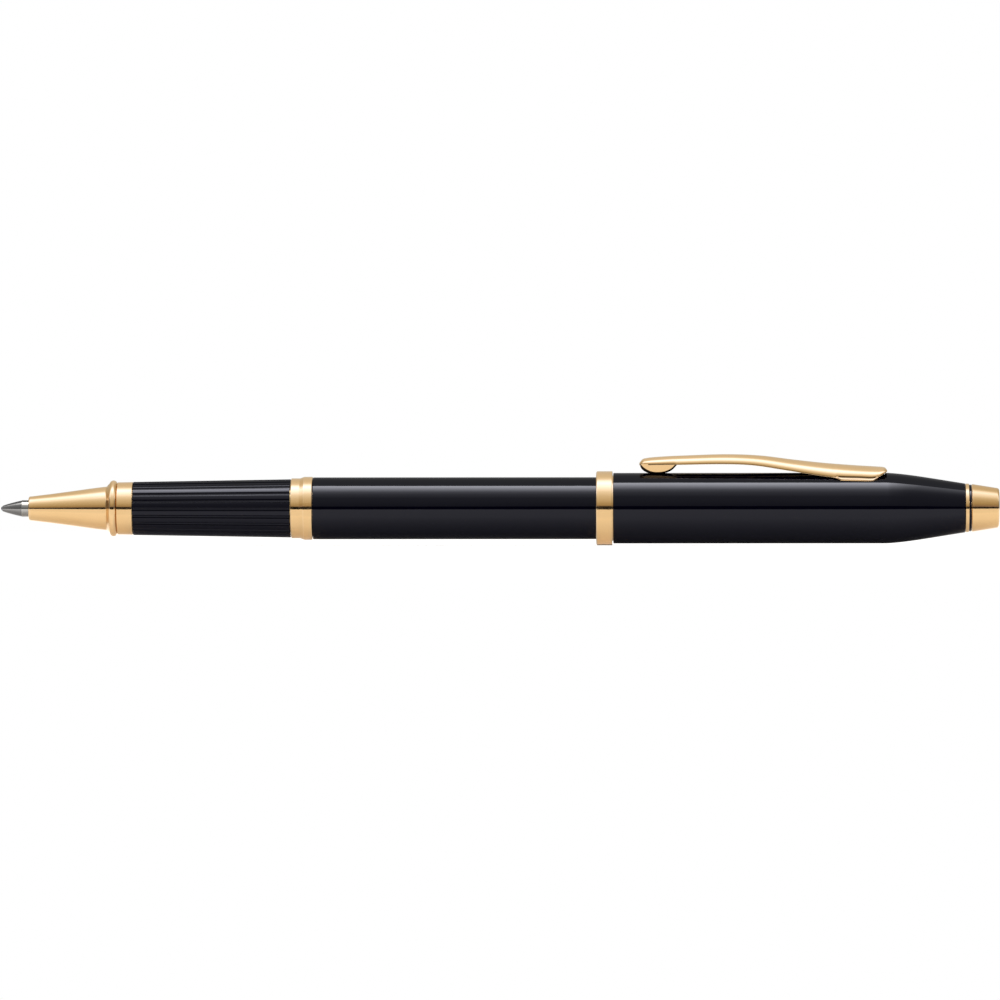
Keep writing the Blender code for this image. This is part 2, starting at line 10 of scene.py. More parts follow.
import bpy
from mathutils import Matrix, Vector

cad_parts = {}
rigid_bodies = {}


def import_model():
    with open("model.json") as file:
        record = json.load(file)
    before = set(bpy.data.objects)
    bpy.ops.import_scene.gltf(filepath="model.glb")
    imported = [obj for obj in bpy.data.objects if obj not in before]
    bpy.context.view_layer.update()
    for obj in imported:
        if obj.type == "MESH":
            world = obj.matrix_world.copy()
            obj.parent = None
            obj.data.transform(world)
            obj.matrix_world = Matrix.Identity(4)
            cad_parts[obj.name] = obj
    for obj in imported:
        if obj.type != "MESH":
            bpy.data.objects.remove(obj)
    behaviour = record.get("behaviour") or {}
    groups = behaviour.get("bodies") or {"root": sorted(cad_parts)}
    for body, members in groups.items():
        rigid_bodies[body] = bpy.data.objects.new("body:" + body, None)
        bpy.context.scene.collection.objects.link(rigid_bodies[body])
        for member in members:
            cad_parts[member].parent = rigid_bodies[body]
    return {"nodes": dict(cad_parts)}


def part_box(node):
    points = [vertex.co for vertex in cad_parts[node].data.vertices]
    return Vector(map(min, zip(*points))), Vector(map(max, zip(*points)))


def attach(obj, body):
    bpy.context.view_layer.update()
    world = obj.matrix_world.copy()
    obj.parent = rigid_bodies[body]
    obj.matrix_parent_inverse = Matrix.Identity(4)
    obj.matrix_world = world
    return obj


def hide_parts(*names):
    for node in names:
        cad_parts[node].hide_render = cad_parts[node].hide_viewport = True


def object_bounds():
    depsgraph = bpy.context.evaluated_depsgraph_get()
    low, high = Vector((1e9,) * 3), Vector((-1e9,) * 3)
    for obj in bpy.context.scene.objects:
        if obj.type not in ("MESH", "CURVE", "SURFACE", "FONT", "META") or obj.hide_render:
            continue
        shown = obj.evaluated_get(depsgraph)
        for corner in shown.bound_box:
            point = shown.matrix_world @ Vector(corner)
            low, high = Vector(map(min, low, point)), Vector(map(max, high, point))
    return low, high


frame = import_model()
cad_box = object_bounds()

TIP_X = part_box("writing_ball")[0].x
AXIS_Z = (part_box("barrel_tube")[0].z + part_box("barrel_tube")[1].z) / 2

# --- driving dimensions of the fine meshes: lengths in millimetres ----------------------------
ROUND = 128  # facets round a turned piece
EDGE = 0.09  # fillet of a plain tube's edge
ARC_STEPS = 5
SUPPORT = 0.03  # from a fillet's end to the point that keeps the straight flat

GROOVES = 22
GROOVE_RADIUS = 0.24
GROOVE_LIP = 0.05
GROOVE_PHASE = math.radians(1.3)
GROOVED_FROM = 3.7  # the grip's outside lies beyond this radius, its bore within it

THREAD_PITCH = 0.8
THREAD_START = 49.2
THREAD_TURNS = 3.5
THREAD_ROOT = 3.42
THREAD_HEIGHT = 0.36
THREAD_FOOT = 0.31  # half the ridge's width at its root
THREAD_TIP = 0.1  # half the ridge's width at its crest

CLIP_SHEET = 0.42
CLIP_RIM = 0.12
CLIP_ROUNDNESS = 1.8  # of the strip's top: 2 is an ellipse, 1 two straight slopes
CLIP_SPOON = 0.75  # length over which the free end rounds off
FOOT_SPAN = (124.8, 132.0)
FOOT_DEPTH = 0.5
FOOT_FLARE = 0.32
# These points get painted shade: the gold is drawn near black in the crease.
FOOT_CREASE = (9, 10)  # points of the clip's section where a foot meets the fold
SHOE_REAR = 101.35
SHOE_HALF_WIDTH = 1.74
SHOE_LEAN = 0.17  # how much narrower the shoe gets for each millimetre down
CAP_CLEARANCE = 0.03


# --- measuring the frame ----------------------------------------------------------------------
def place(station, y, height):
    """A point of the row frame, in metres."""
    return Vector((TIP_X + 0.001 * station, 0.001 * y, AXIS_Z + 0.001 * height))


def span(node):
    """The front and rear stations of a CAD node, and how far it reaches from the pen's axis."""
    low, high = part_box(node)
    reach = max(math.hypot(v.co.y, v.co.z - AXIS_Z) for v in frame["nodes"][node].data.vertices)
    return 1000 * (low.x - TIP_X), 1000 * (high.x - TIP_X), 1000 * reach


# --- mesh helpers -----------------------------------------------------------------------------
def add_object(name, data):
    """A new object in the scene."""
    obj = bpy.data.objects.new(name, data)
    bpy.context.scene.collection.objects.link(obj)
    return obj


def new_object(name, points, faces, wear_and_shade=None, sharp=30):
    """A smooth-shaded mesh object with a wear and painted-shade attribute: 1 where an edge gets rubbed, -1
    where shade is painted dark.
    """
    mesh = bpy.data.meshes.new(name)
    mesh.from_pydata(points, [], faces)
    mesh.validate()
    mesh.update()
    mesh.shade_smooth()
    mesh.set_sharp_from_angle(angle=math.radians(sharp))
    attribute = mesh.attributes.new("wear_and_shade", "FLOAT", "POINT")
    if wear_and_shade:
        attribute.data.foreach_set("value", wear_and_shade)
    return add_object(name, mesh)


def grid_faces(rows, count, closed=False):
    """Quads between neighbouring rows of count points each. Closed rows run all the way round."""
    faces = []
    for k in range(rows - 1):
        for i in range(count if closed else count - 1):
            j = (i + 1) % count
            faces.append((k * count + i, k * count + j, (k + 1) * count + j, (k + 1) * count + i))
    return faces


def finish_piece(obj, node, body, material):
    """Says what a fine piece stands for, what it rides on and what it is made of."""
    obj.data.materials.append(material)
    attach(obj, body)
    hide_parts(node)
    return obj


def rounded(corners, closed=True, steps=ARC_STEPS):
    """An outline with its corners rounded, as (station, radius, wear) points.

    A corner is (station, radius) or (station, radius, fillet). Each arc has a point just beside it
    on the straights, so that smooth shading leaves the straights flat.
    """
    outline = []
    count = len(corners)
    for i, corner in enumerate(corners):
        here = Vector(corner[:2])
        fillet = corner[2] if len(corner) > 2 else 0
        if not fillet or (not closed and i in (0, count - 1)):
            outline.append((*here, 0.0))
            continue
        before = Vector(corners[i - 1][:2]) - here
        after = Vector(corners[(i + 1) % count][:2]) - here
        turn = math.pi - before.angle(after)
        reach = min(fillet * math.tan(turn / 2), 0.48 * before.length, 0.48 * after.length)
        radius = reach / math.tan(turn / 2)
        start = here + before.normalized() * reach
        end = here + after.normalized() * reach
        centre = here + (before.normalized() + after.normalized()).normalized() * math.hypot(radius, reach)
        convex = before.x * after.y - before.y * after.x > 0
        side = min(SUPPORT, 0.3 * reach)
        outline.append((*(start + before.normalized() * side), 0.0))
        for step in range(steps + 1):
            share = step / steps
            spoke = (start - centre).lerp(end - centre, share).normalized() * radius
            outline.append((*(centre + spoke), math.sin(math.pi * share) if convex else 0.0))
        outline.append((*(end + after.normalized() * side), 0.0))
    return outline


def hermite(points, at):
    """A Catmull-Rom curve through (station, value) points, read at one station."""
    last = len(points) - 2
    index = max(i for i in range(last + 1) if points[i][0] <= at or i == 0)
    before = points[max(index - 1, 0)]
    left, right = points[index], points[index + 1]
    after = points[min(index + 2, last + 1)]
    length = right[0] - left[0]
    t = (at - left[0]) / length
    slope_left = (right[1] - before[1]) / (right[0] - before[0]) * length
    slope_right = (after[1] - left[1]) / (after[0] - left[0]) * length
    return (
        (2 * t**3 - 3 * t**2 + 1) * left[1]
        + (t**3 - 2 * t**2 + t) * slope_left
        + (-2 * t**3 + 3 * t**2) * right[1]
        + (t**3 - t**2) * slope_right
    )


def between(low, high, count):
    """Evenly spaced values from low to high."""
    return [low + (high - low) * i / count for i in range(count + 1)]


def eased(low, high, count):
    """Values from low to high that crowd at both ends."""
    return [low + (high - low) * (1 - math.cos(math.pi * i / count)) / 2 for i in range(count + 1)]


def curve(points, count):
    """(station, radius) points along a smooth curve through the given ones."""
    return [(at, hermite(points, at)) for at in between(points[0][0], points[-1][0], count)]


def arc(centre, radius, start, end, steps):
    """Points on an arc: 0 degrees faces the rear, 90 degrees faces outwards."""
    found = []
    for angle in between(math.radians(start), math.radians(end), steps):
        found.append((centre[0] + radius * math.cos(angle), centre[1] + radius * math.sin(angle)))
    return found


def lathe(name, outline, angles=None, shape=None, sharp=30):
    """A body of revolution. shape(station, angle, radius) may change a point's radius."""
    angles = angles or [2 * math.pi * i / ROUND for i in range(ROUND)]
    points, faces, wear_and_shade, rings = [], [], [], []
    for station, radius, *worn in outline:
        ring = []
        for angle in angles if radius > 1e-4 else angles[:1]:
            reach = shape(station, angle, radius) if shape else radius
            ring.append(len(points))
            points.append(place(station, reach * math.cos(angle), reach * math.sin(angle)))
            wear_and_shade.append(worn[0] if worn else 0.0)
        rings.append(ring)
    pairs = list(zip(rings, rings[1:]))
    if len(rings[0]) > 1:
        pairs.append((rings[-1], rings[0]))
    count = len(angles)
    for ring, following in pairs:
        for i in range(count):
            j = (i + 1) % count
            if len(ring) == 1:
                faces.append((ring[0], following[i], following[j]))
            elif len(following) == 1:
                faces.append((ring[i], following[0], ring[j]))
            else:
                faces.append((ring[i], following[i], following[j], ring[j]))
    return new_object(name, points, faces, wear_and_shade, sharp)


def loft(name, rings, wear_and_shade=None, sharp=30):
    """A closed body through equal rings of (station, y, height) points."""
    points = [place(*point) for ring in rings for point in ring]
    count = len(rings[0])
    faces = grid_faces(len(rings), count, closed=True)
    faces.append(tuple(reversed(range(count))))
    faces.append(tuple(range((len(rings) - 1) * count, len(rings) * count)))
    return new_object(name, points, faces, wear_and_shade, sharp)


# --- refill -----------------------------------------------------------------------------------
def make_writing_ball():
    front, rear, _ = span("writing_ball")
    middle = (front + rear) / 2
    outline = [(front, 0.0)] + arc((middle, 0), (rear - front) / 2, 180, 0, 24)[1:-1] + [(rear, 0.0)]
    ball = lathe("writing_ball_detail", outline)
    finish_piece(ball, "writing_ball", "ball", inked_carbide())


def make_refill_point():
    """The turned cone with its lip rolled over the ball, a short land and a shoulder."""
    front, rear, reach = span("refill_point")
    nose_front = span("refill_nose")[0]
    corners = [
        (front, 0.345), (front, 0.42, 0.05), (front + 0.25, 0.51, 0.15), (front + 0.72, 0.67, 0.3),
        (front + 1.45, 0.87, 0.5), (front + 2.1, 1.04, 0.5), (nose_front - 0.02, reach, 0.03),
        (nose_front - 0.02, 0.62), (rear, 0.62), (rear, 0.22),
        (front + 0.7, 0.22), (front + 0.36, 0.38), (front + 0.08, 0.38),
    ]
    point = lathe("refill_point_detail", rounded(corners))
    finish_piece(point, "refill_point", "refill", turned_steel())


def make_refill_nose():
    """The slim sleeve that shows, its wider seat in the nose cone and the step up to the tube."""
    front, rear, reach = span("refill_nose")
    radius = 1.25
    corners = [
        (front, 0.7), (front, radius - 0.04, 0.04), (front + 0.1, radius, 0.1), (front + 7.7, radius, 0.2),
        (front + 8.3, 2.05, 0.15), (front + 14.3, 2.05, 0.2), (front + 15.2, reach, 0.15),
        (front + 16.1, reach, 0.1), (front + 16.1, 2.42), (rear, 2.42, 0.1), (rear, 0.9),
        (front + 5.1, 0.9), (front + 5.1, 0.7),
    ]
    nose = lathe("refill_nose_detail", rounded(corners))
    finish_piece(nose, "refill_nose", "refill", drawn_steel())


# --- section ----------------------------------------------------------------------------------
def make_nose_cone():
    """The cone, the waist behind it, the bead, a fine groove and the collar."""
    front, rear, _ = span("nose_cone")
    slope = [
        (front + 0.22, 1.8), (6.0, 2.0), (7.5, 2.18), (9.0, 2.38), (10.5, 2.58), (12.0, 2.79),
        (13.5, 3.0), (15.0, 3.19), (15.75, 3.27),
    ]
    mouth = arc((front + 0.25, 1.57), 0.25, 190, 97, 5)
    outline = [(*point, 0.6) for point in mouth]
    outline += [(*point, 0.0) for point in curve(slope, 40)[1:]]
    outline += [(*point, 0.0) for point in arc((15.78, 3.6), 0.33, -80, -15, 5)]
    outline += [(*point, 0.3) for point in arc((16.95, 3.64), 0.58, 165, 12, 16)]
    outline += rounded([(17.56, 3.72), (17.6, 3.93, 0.06), (rear, 3.97, 0.07), (rear, 3.56)], False)
    outline += [(18.3, 3.56), (18.3, 3.05), (17.5, 3.05), (16.9, 2.2), (11.2, 2.2), (10.5, 1.36)]
    outline += [(front, 1.36)]
    cone = lathe("nose_cone_detail", outline)
    finish_piece(cone, "nose_cone", "section", polished_gold())


def groove_angles():
    """Angles round the grip: close together over each groove and its lips, wide on the lands."""
    middle_radius = 4.18
    half = (GROOVE_RADIUS + GROOVE_LIP) / middle_radius
    pitch = 2 * math.pi / GROOVES
    angles = []
    for i in range(GROOVES):
        centre = GROOVE_PHASE + math.pi + pitch * i
        angles += [centre + half * offset for offset in between(-1.15, 1.15, 16)]
        angles += [centre + half * 1.15 + (pitch - 2.3 * half) * share for share in (0.2, 0.4, 0.6, 0.8)]
    return angles


def grooved(station, angle, radius):
    """The grip's radius with its grooves: round-bottomed, with softened lips."""
    if radius < GROOVED_FROM:
        return radius
    pitch = 2 * math.pi / GROOVES
    around = (angle - GROOVE_PHASE - math.pi + pitch / 2) % pitch - pitch / 2
    across = abs(around) * radius
    if across >= GROOVE_RADIUS + GROOVE_LIP:
        return radius
    depth = math.sqrt(max(GROOVE_RADIUS**2 - min(across, GROOVE_RADIUS) ** 2, 0))
    lip = GROOVE_LIP * max(0.0, 1 - abs(across - GROOVE_RADIUS) / GROOVE_LIP) * 0.35
    return radius - max(depth, lip)


def make_grip_sleeve():
    """The black sleeve, a little wider at its rear, with grooves along it."""
    front, rear, reach = span("grip_sleeve")
    front_radius, bore = 3.99, 3.58
    outline = rounded([(front, front_radius, EDGE), (rear, reach, EDGE), (rear, bore), (front, bore)])
    grip = lathe("grip_sleeve_detail", outline, angles=groove_angles(), shape=grooved, sharp=40)
    finish_piece(grip, "grip_sleeve", "section", grip_plastic())


def threaded(station, angle, radius):
    """The spigot's radius with its right-handed ridge, which runs in and out over part of a turn."""
    if abs(radius - THREAD_ROOT) > 0.01:
        return radius
    turns = (station - THREAD_START) / THREAD_PITCH - angle / (2 * math.pi)
    nearest = round(turns)
    along = nearest + angle / (2 * math.pi)
    ends = min(1.0, max(0.0, 4 * min(along + 0.05, THREAD_TURNS - along)))
    off = abs(turns - nearest) * THREAD_PITCH
    ridge = min(1.0, max(0.0, (THREAD_FOOT - off) / (THREAD_FOOT - THREAD_TIP)))
    return radius + THREAD_HEIGHT * ridge * ends


def make_coupling_ring():
    """The two-step ring and its threaded spigot."""
    front, rear, reach = span("coupling_ring")
    shoulder = 46.9
    front_radius, rear_radius = 4.51, reach
    outside = [
        (front, 3.56), (front, front_radius, 0.12), (45.0, front_radius, 0.4), (45.62, rear_radius, 0.4),
        (shoulder, rear_radius, 0.12), (shoulder, THREAD_ROOT),
    ]
    spigot = [(at, THREAD_ROOT, 0.0) for at in between(shoulder + 0.05, rear - 0.15, 96)]
    bore = [(rear, THREAD_ROOT - 0.12), (rear, 3.12), (45.4, 3.12), (45.4, 3.56)]
    outline = rounded(outside, False) + spigot + bore
    ring = lathe("coupling_ring_detail", outline, shape=threaded)
    finish_piece(ring, "coupling_ring", "section", polished_gold())


# --- barrel -----------------------------------------------------------------------------------
def make_barrel_tube():
    front, rear, reach = span("barrel_tube")
    bore = 4.25
    corners = [(front, reach, EDGE), (rear, reach), (rear, bore), (front, bore)]
    barrel = lathe("barrel_tube_detail", rounded(corners))
    finish_piece(barrel, "barrel_tube", "barrel", lacquer("barrel_lacquer", marks=True))


def make_barrel_end_plug():
    """The rounded plug that closes the barrel, with a hollow that seats the spring."""
    front, rear, reach = span("barrel_end_plug")
    rim = span("barrel_tube")[1] + 0.08
    corners = [
        (rear - 2.2, 0), (rear - 2.2, 2.7, 0.2), (front, 3.25), (front, 4.19, 0.2), (rim, 4.19),
        (rim, reach, 0.05), (rear, reach, 1.2), (rear, 0),
    ]
    plug = lathe("barrel_end_plug_detail", rounded(corners, False, 10))
    finish_piece(plug, "barrel_end_plug", "barrel", moulded_plastic())


# --- cap --------------------------------------------------------------------------------------
def make_cap_lip_ring():
    """The ring at the cap's mouth, which rests on the floor, and its spigot inside the shell."""
    front, rear, _ = span("cap_lip_ring")
    radius = 1000 * AXIS_Z
    shoulder, bore, spigot = 91.88, 4.69, 4.91
    corners = [
        (front, bore), (front, radius, 0.24), (shoulder, radius, 0.1), (shoulder, spigot),
        (rear, spigot, 0.1), (rear, bore),
    ]
    ring = lathe("cap_lip_ring_detail", rounded(corners, steps=8))
    finish_piece(ring, "cap_lip_ring", "cap", polished_gold())


def cap_radius(at, reach):
    """The shell's radius: a cylinder that turns smoothly into the tapered end."""
    taper = [
        (131.8, reach), (132.8, reach), (133.6, 5.252), (135.0, 5.13), (136.5, 4.95), (138.0, 4.74),
        (140.0, 4.43), (142.5, 4.03), (144.7, 3.68),
    ]
    return reach if at <= taper[0][0] else hermite(taper, at)


def make_cap_shell():
    """The shell, and the slot that the clip's tongue goes through."""
    front, rear, reach = span("cap_shell")
    outer = rounded([(front, 4.95), (front, reach, EDGE), (front + 5, reach)], False)[1:]
    outer += [(at, cap_radius(at, reach), 0.0) for at in between(131.6, rear - 0.06, 40)]
    outer += [(rear, cap_radius(rear - 0.06, reach) - 0.07, 0.0)]
    bore = [(rear, 3.23), (140.0, 4.0), (136.5, 4.55), (133.4, 4.88), (131.2, 4.95), (front, 4.95)]
    shell = lathe("cap_shell_detail", outer + bore)
    cut_box(shell, place(131.1, -1.45, 2.9), place(132.7, 1.45, 6.5))
    finish_piece(shell, "cap_shell", "cap", lacquer("cap_lacquer", marks=False))


def cut_box(obj, low, high):
    """Cuts the box between two corners out of an object's mesh."""
    corners = [(x, y, z) for x in (low.x, high.x) for y in (low.y, high.y) for z in (low.z, high.z)]
    sides = [(0, 1, 3, 2), (4, 6, 7, 5), (0, 4, 5, 1), (2, 3, 7, 6), (0, 2, 6, 4), (1, 5, 7, 3)]
    mesh = bpy.data.meshes.new("clip_slot_cutter")
    mesh.from_pydata(corners, [], sides)
    cutter = add_object("clip_slot_cutter", mesh)
    cut = obj.modifiers.new("slot", "BOOLEAN")
    cut.object = cutter
    cut.solver = "EXACT"
    graph = bpy.context.evaluated_depsgraph_get()
    made = bpy.data.meshes.new_from_object(obj.evaluated_get(graph))
    obj.modifiers.clear()
    obj.data = made
    bpy.data.objects.remove(cutter)


def make_crown_washer(node, fillet, material):
    """One of the two thin rings under the crown."""
    front, rear, reach = span(node)
    bore = 1.4
    outline = rounded([(front, reach, fillet), (rear, reach, fillet), (rear, bore), (front, bore)])
    finish_piece(lathe(node + "_detail", outline), node, "cap", material)


def make_crown():
    """The conical crown with its bright front chamfer and the stud that holds it."""
    front, rear, reach = span("crown")
    seat = span("crown_spacer")[1] + 0.05
    corners = [
        (front, 0), (front, 1.1, 0.1), (front + 0.2, 1.3, 0.1), (seat, 1.3), (seat, reach - 0.12, 0.03),
        (seat + 0.12, reach - 0.01, 0.05), (rear, 2.95, 0.38), (rear, 0),
    ]
    crown = lathe("crown_detail", rounded(corners, False, 8))
    finish_piece(crown, "crown", "cap", polished_gold())


# --- clip -------------------------------------------------------------------------------------
def clip_top(at):
    """The height of the strip's top."""
    return hermite([
        (95.9, 6.98), (96.5, 7.43), (99.0, 7.73), (103.0, 7.92), (109.0, 8.09), (114.0, 7.9),
        (119.0, 7.29), (123.5, 6.8), (128.0, 6.45), (131.5, 6.24), (132.4, 6.17), (132.8, 6.03),
        (133.0, 5.72),
    ], at)


def clip_fold(at):
    """The height of the strip's lower edge, where the feet fold outwards at its base."""
    return hermite([
        (95.9, 6.5), (101.3, 6.58), (108.5, 6.68), (113.0, 6.5), (118.0, 5.75), (124.8, 4.7),
        (129.0, 4.52), (131.2, 4.52), (132.5, 5.2), (133.0, 5.55),
    ], at)


def clip_half_width(at):
    return hermite([
        (95.9, 1.35), (97.5, 1.77), (102.0, 1.85), (112.0, 2.1), (120.0, 2.7), (126.0, 3.1), (131.2, 3.1),
        (132.2, 2.95), (132.75, 2.6), (133.0, 2.1),
    ], at)


def clip_foot(at):
    """(depth below the fold, flare outwards) of the feet at the clip's base."""
    front, rear = FOOT_SPAN
    front_slope, rear_slope, least_depth = 1.3, 1.1, 0.1
    if front < at < rear:
        ramp = min((at - front) / front_slope, (rear - at) / rear_slope, 1)
        return max(least_depth, FOOT_DEPTH * ramp), FOOT_FLARE * ramp
    return least_depth, 0.0


def clip_nose(at, front):
    """How much of the full section is left near the free end, which is rounded like a spoon."""
    left = min(1.0, max(0.0, (at - front) / CLIP_SPOON))
    return math.sqrt(1 - (1 - left) ** 2)


def clip_section(at, front):
    """The channel's section at one station, from the near rim over the top and back inside.

    Returns the ring of points and how many of them are on the outside.
    """
    depth, flare = clip_foot(at)
    at_foot = depth > 0.2
    fold = clip_fold(at)
    # The very end keeps 0.35 of the width and 0.45 of the height.
    nose = clip_nose(at, front)
    half = clip_half_width(at) * (0.35 + 0.65 * nose)
    rise = (clip_top(at) - fold) * (0.45 + 0.55 * nose)
    sheet = min(CLIP_SHEET, 0.45 * half, 0.45 * rise)
    lower = fold - depth
    rim = min(CLIP_RIM, 0.4 * depth, 0.4 * sheet)
    crease = 0.05 if at_foot else 0.0
    wall = 0.12 if at_foot or at < SHOE_REAR - 0.05 else 0.03
    edge = half + flare
    outside = [
        (edge - sheet + 0.3 * rim, lower + 0.3 * rim), (edge - sheet + rim, lower), (edge - rim, lower),
        (edge - 0.3 * rim, lower + 0.3 * rim),
    ]
    for share in (1.0, 0.8, 0.6, 0.4, 0.2):
        outside.append((half + flare * share**2.5, fold - (depth - rim) * share))
    outside.append((half - crease, fold - 0.3 * crease))
    inside = [(edge - sheet, lower + rim)]
    steps = 14
    for i in range(steps):
        angle = math.pi / 2 * i / steps
        across = math.cos(angle) ** (2 / CLIP_ROUNDNESS)
        up = math.sin(angle) ** (2 / CLIP_ROUNDNESS)
        outside.append((half * across, fold + wall + (rise - wall) * up))
        inside.append(((half - sheet) * across, fold + (rise - sheet) * up))
    ring = [(at, -y, z) for y, z in outside] + [(at, 0, fold + rise)]
    ring += [(at, y, z) for y, z in reversed(outside)]
    ring += [(at, y, z) for y, z in inside] + [(at, 0, fold + rise - sheet)]
    ring += [(at, -y, z) for y, z in reversed(inside)]
    return ring, len(outside) * 2 + 1


def shoe_point(share):
    """A (station, height) point of the half-moon's curved edge: share 0 is its front, 1 its rear."""
    points = [
        (0.0, 96.12, 6.62), (0.12, 96.42, 6.26), (0.28, 97.0, 5.83), (0.42, 97.8, 5.5),
        (0.54, 98.65, 5.42), (0.7, 99.75, 5.55), (0.85, 100.7, 5.98), (1.0, SHOE_REAR, 6.62),
    ]
    stations = [(at, station) for at, station, _ in points]
    heights = [(at, height) for at, _, height in points]
    return Vector((hermite(stations, share), hermite(heights, share)))


def shoe_outward(share):
    """The direction that faces out of the half-moon's curved edge."""
    tangent = shoe_point(min(share + 0.01, 1.0)) - shoe_point(max(share - 0.01, 0.0))
    return Vector((tangent.y, -tangent.x)).normalized()


def make_shoe_rings():
    """Rings across the shoe at the free end: near face, bevel, rounded keel, bevel, far face."""
    cap_reach = span("cap_shell")[2] + CAP_CLEARANCE
    keel = [(0.0, 0.0), (0.05, 0.035), (0.4, 0.1), (0.68, 0.2), (0.88, 0.36), (1.0, 0.6), (1.0, 1.0)]
    keel_widths = [(0, 0.22), (0.15, 0.42), (0.35, 0.4), (0.55, 0.27), (0.8, 0.3), (1.0, 0.3)]
    front, fold = 95.92, 6.6
    rings = []
    for share in eased(0, 1, 40):
        here, out = shoe_point(share), shoe_outward(share)
        width = hermite(keel_widths, share)
        ring = []
        for offset, inward in keel:
            at, height = here + out * offset * width
            half = SHOE_HALF_WIDTH - SHOE_LEAN * (fold - here.y)
            y = half * (1 - inward)
            height = max(height, math.sqrt(cap_reach**2 - y**2))
            ring.append((max(at, front), -y, height))
        ring += [(at, -y, height) for at, y, height in reversed(ring[:-1])]
        rings.append(ring)
    return rings


def make_clip():
    """The folded strip, the shoe at its free end and the tongue at its base, in one mesh."""
    front, rear, _ = span("clip")
    stations = [front + CLIP_SPOON * (1 - math.cos(math.pi / 2 * i / 9)) for i in range(1, 10)]
    stations += between(97.0, 124.4, 80) + between(124.8, 126.4, 10) + between(126.8, 130.6, 10)
    stations += between(130.9, 132.2, 12) + [132.5, 132.75, 132.92, rear]
    sections = [clip_section(at, front) for at in stations]
    wear_and_shade = []
    for at, (ring, seen) in zip(stations, sections):
        has_foot = clip_foot(at)[1] > 0.2
        for i in range(len(ring)):
            # The channel's inside and the creases over the feet get -1: painted shade, drawn near black.
            in_crease = has_foot and min(i, seen - 1 - i) in FOOT_CREASE
            wear_and_shade.append(-1.0 if i >= seen or in_crease else 0.0)
    strip = loft("clip_detail", [ring for ring, _ in sections], wear_and_shade, sharp=35)
    shoe = make_shoe()
    tongue_rings = []
    for at in (131.6, 132.2):
        tongue_rings.append([(at, -1.1, 3.65), (at, 1.1, 3.65), (at, 1.1, 5.95), (at, -1.1, 5.95)])
    tongue = loft("clip_tongue", tongue_rings)
    join(strip, [shoe, tongue])
    finish_piece(strip, "clip", "clip", brushed_gold())


def make_shoe():
    """The half-moon faces closed by the keel and, inside the strip, by a flat lid."""
    rings = make_shoe_rings()
    count = len(rings[0])
    points = [place(*point) for ring in rings for point in ring]
    faces = grid_faces(len(rings), count)
    near = range(0, len(points), count)
    far = range(len(points) - 1, 0, -count)
    lid = [*range(count - 1, -1, -1), *range(len(points) - count, len(points))]
    faces += [tuple(near), tuple(far), tuple(lid)]
    # All but the outer points of each ring get -1: painted shade on the keel and the lid.
    shown = 3
    wear_and_shade = [0.0 if min(i, count - 1 - i) < shown else -1.0 for _ in rings for i in range(count)]
    return new_object("clip_shoe", points, faces, wear_and_shade, sharp=25)


def join(obj, others):
    """Adds the meshes of other objects to one object's mesh."""
    bpy.ops.object.select_all(action="DESELECT")
    for other in [*others, obj]:
        other.select_set(True)
    bpy.context.view_layer.objects.active = obj
    bpy.ops.object.join()


